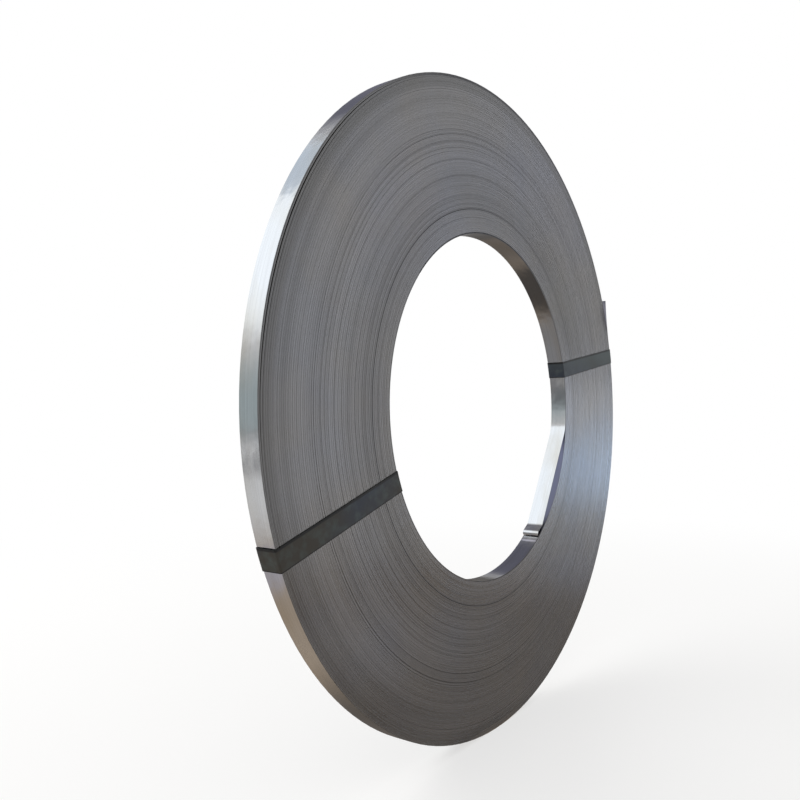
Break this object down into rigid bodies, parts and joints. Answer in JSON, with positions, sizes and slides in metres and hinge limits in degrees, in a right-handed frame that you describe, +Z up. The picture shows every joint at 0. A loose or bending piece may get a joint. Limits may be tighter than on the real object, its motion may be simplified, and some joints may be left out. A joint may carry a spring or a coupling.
{
  "type": "coil of aluminium strip",
  "caption": "Slim pancake coil of slit aluminium strip with a wide bore, sprung inner and outer ends, tied round its section with dark steel packing straps.",
  "frame": {"origin": "on the floor under the rim, in the middle of the depth over straps and seals", "axes": "+Z up, the coil's axis along Y with its front face towards -Y, +X to the right as seen from the front, where the outer end of the strip lies"},
  "size_m": [0.56, 0.02, 0.56],
  "materials": {
    "aluminium_strip": "satin mill finish, duller where the slit edges show",
    "strapping": "satin, blued and waxed",
    "seal_steel": "satin zinc plate"
  },
  "bodies": {
    "root": {"strip_coil": "aluminium_strip", "strap_right": "strapping", "strap_left": "strapping", "seal_right": "seal_steel", "seal_left": "seal_steel"}
  },
  "joints": []
}
